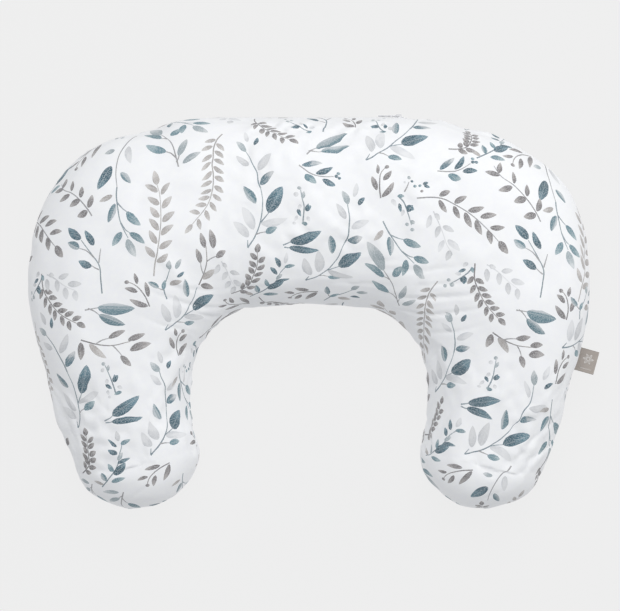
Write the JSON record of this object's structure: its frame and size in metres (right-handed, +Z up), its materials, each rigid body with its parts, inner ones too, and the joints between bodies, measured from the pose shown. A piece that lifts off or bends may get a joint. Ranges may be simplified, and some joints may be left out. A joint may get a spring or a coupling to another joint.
{
  "type": "nursing pillow",
  "caption": "Horseshoe feeding pillow: a fibre-filled cushion in a zipped, leaf-printed cotton cover, lying flat with its opening to the front.",
  "frame": {"origin": "on the floor under the middle of the whole outline, side label included", "axes": "+Z up from the flat underside, +X across the pillow towards the side label, the opening faces -Y"},
  "size_m": [0.6109, 0.4191, 0.1573],
  "materials": {
    "cover_cotton": "plain-weave cotton printed with leaf sprigs",
    "casing_cloth": "plain undyed polycotton",
    "filling_fibre": "hollow polyester fibre",
    "zip_tape": "woven tape",
    "zip_coil": "satin nylon coil",
    "zip_metal": "satin nickel",
    "woven_label": "damask woven, warm grey",
    "satin_label": "blank satin ribbon"
  },
  "bodies": {
    "pillow": {"cover_upper_panel": "cover_cotton", "cover_lower_panel": "cover_cotton", "casing_upper_panel": "casing_cloth", "casing_lower_panel": "casing_cloth", "fibre_filling": "filling_fibre", "zip_tape_upper": "zip_tape", "zip_tape_lower": "zip_tape", "zip_chain_upper": "zip_coil", "zip_chain_lower": "zip_coil", "zip_top_stop_upper": "zip_metal", "zip_top_stop_lower": "zip_metal", "zip_bottom_stop": "zip_metal", "care_label": "satin_label"},
    "zip_slider": {"zip_slider": "zip_metal"},
    "zip_pull": {"zip_pull": "zip_metal"},
    "side_label": {"side_label": "woven_label"}
  },
  "joints": [
    {"name": "zip_slider_travel", "type": "slide", "parent": "pillow", "child": "zip_slider", "axis": [-1, 0, 0], "range_m": [0, 0.19]},
    {"name": "zip_pull_swing", "type": "hinge", "parent": "zip_slider", "child": "zip_pull", "pos_m": [0.0909, 0.20785, 0.072], "axis": [0, 0, -1], "range_deg": [0, 170]},
    {"name": "side_label_flex", "type": "hinge", "parent": "pillow", "child": "side_label", "pos_m": [0.2839, -0.0511, 0.0633], "axis": [0.2672, 0.9636, 0], "range_deg": [-55, 55], "stiffness_Nm_per_rad": 0.001}
  ]
}
